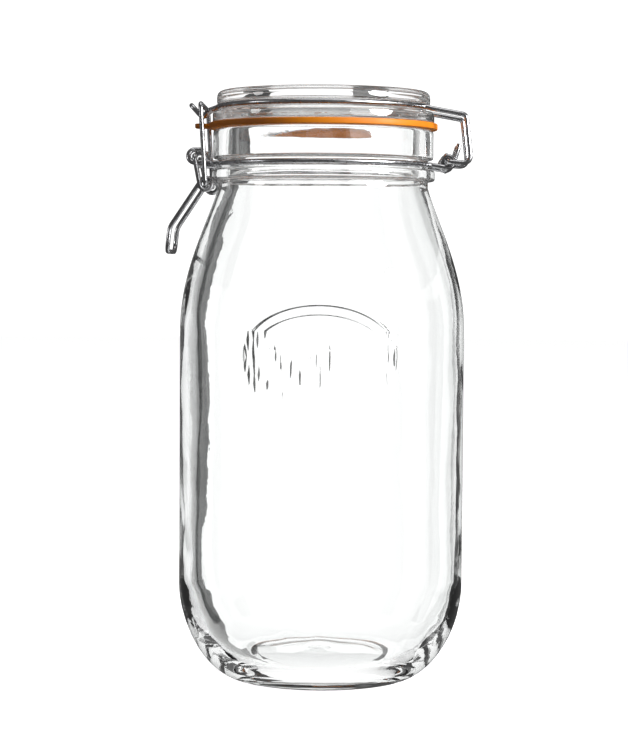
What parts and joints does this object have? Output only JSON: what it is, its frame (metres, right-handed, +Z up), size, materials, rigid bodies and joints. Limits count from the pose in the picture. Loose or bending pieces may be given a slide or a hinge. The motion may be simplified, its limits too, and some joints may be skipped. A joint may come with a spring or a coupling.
{
  "type": "clip top jar",
  "caption": "Empty clear glass storage jar with a hinged glass lid, an orange rubber seal and a wire clip with an over-centre lever and link.",
  "frame": {"origin": "on the jar's axis, in the plane of the foot ring that it stands on", "axes": "+Z up along the jar's axis, hinge of the lid at +X, latch at -X, -Y towards the viewer of the picture"},
  "size_m": [0.1271, 0.1204, 0.2473],
  "materials": {
    "jar_glass": "clear flint glass, fire polished, slightly wavy",
    "neck_wire_steel": "bright drawn steel wire",
    "lid_glass": "clear pressed glass",
    "seal_rubber": "satin natural rubber, orange",
    "lid_wire_steel": "bright drawn steel wire",
    "lever_steel": "bright drawn steel wire",
    "link_steel": "bright drawn steel wire"
  },
  "bodies": {
    "jar": {"glass_jar": "jar_glass", "neck_wire": "neck_wire_steel"},
    "lid": {"glass_lid": "lid_glass", "rubber_seal": "seal_rubber", "lid_wire": "lid_wire_steel"},
    "lever": {"lever_wire": "lever_steel"},
    "link": {"link_wire": "link_steel"}
  },
  "joints": [
    {"name": "lid_hinge", "type": "hinge", "parent": "jar", "child": "lid", "pos_m": [0.052, 0, 0.2176], "axis": [0, 1, 0], "range_deg": [0, 150]},
    {"name": "latch_lever", "type": "hinge", "parent": "jar", "child": "lever", "pos_m": [-0.0529, 0, 0.2194], "axis": [0, 1, 0], "range_deg": [0, 90]},
    {"name": "latch_link", "type": "hinge", "parent": "lever", "child": "link", "pos_m": [-0.0481, 0, 0.2078], "axis": [0, 1, 0], "range_deg": [-60, 0]}
  ],
  "couplings": [
    {"joint": "latch_link", "follows": "latch_lever", "ratio": -0.66}
  ]
}
